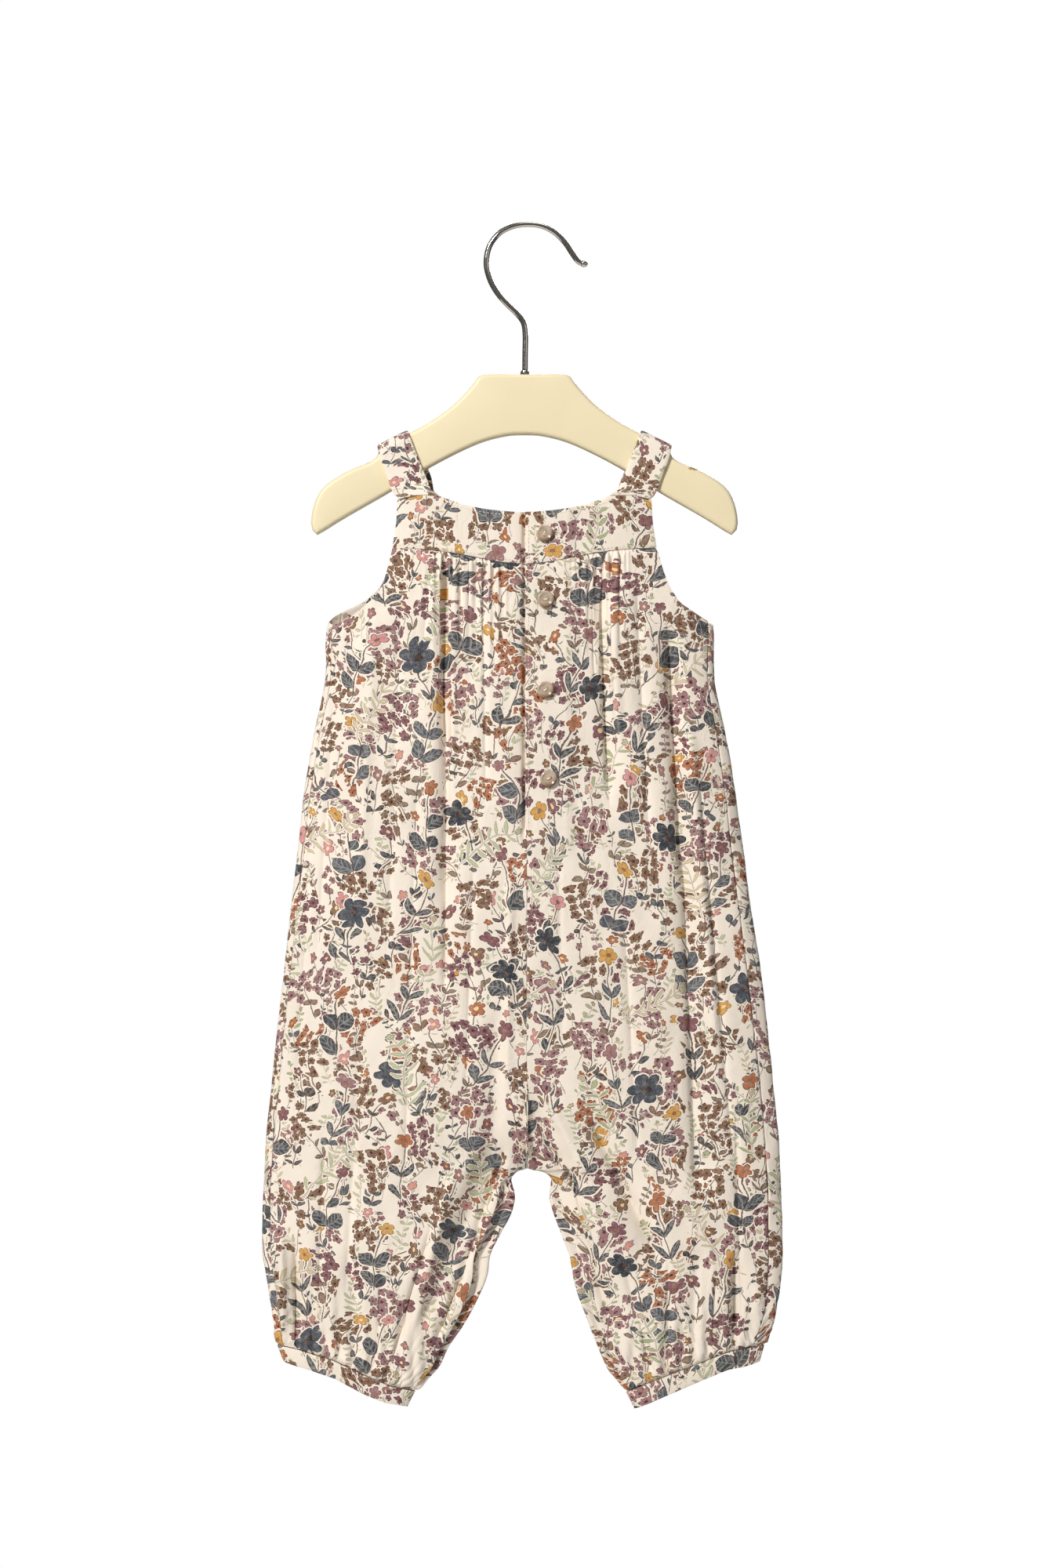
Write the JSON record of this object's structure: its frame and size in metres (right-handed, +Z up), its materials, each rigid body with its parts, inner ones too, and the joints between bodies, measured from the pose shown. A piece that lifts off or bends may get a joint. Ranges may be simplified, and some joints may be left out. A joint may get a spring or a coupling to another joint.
{
  "type": "baby overalls on a hanger",
  "caption": "Sleeveless baby overalls in flower-printed cotton with a buttoned front, gathered yoke and cuffed legs, hanging by their straps on a painted child's hanger with a wire hook.",
  "frame": {"origin": "top of the hook on its inside, where a rail carries it", "axes": "+Z up, +X to the right as seen from the front, the front faces -Y"},
  "size_m": [0.3049, 0.0335, 0.6974],
  "materials": {
    "printed_cotton": "plain weave cotton, ivory ground with a small flower print in slate, mauve, pink, rust and mustard",
    "facing_cotton": "the print's paler wrong side",
    "button_resin": "pearly taupe resin, dished",
    "cream_paint": "satin cream paint",
    "bright_wire": "bright nickel-plated wire"
  },
  "bodies": {
    "root": {"front_yoke_left": "printed_cotton", "front_yoke_right": "printed_cotton", "back_yoke": "printed_cotton", "strap_left": "printed_cotton", "strap_right": "printed_cotton", "front_left": "printed_cotton", "front_right": "printed_cotton", "back_left": "printed_cotton", "back_right": "printed_cotton", "cuff_left": "printed_cotton", "cuff_right": "printed_cotton", "button_stand": "facing_cotton", "armhole_facing_left": "facing_cotton", "armhole_facing_right": "facing_cotton", "button_1": "button_resin", "button_2": "button_resin", "button_3": "button_resin", "button_4": "button_resin", "hanger_body": "cream_paint", "hanger_hook": "bright_wire", "hanger_collar": "bright_wire"}
  },
  "joints": []
}
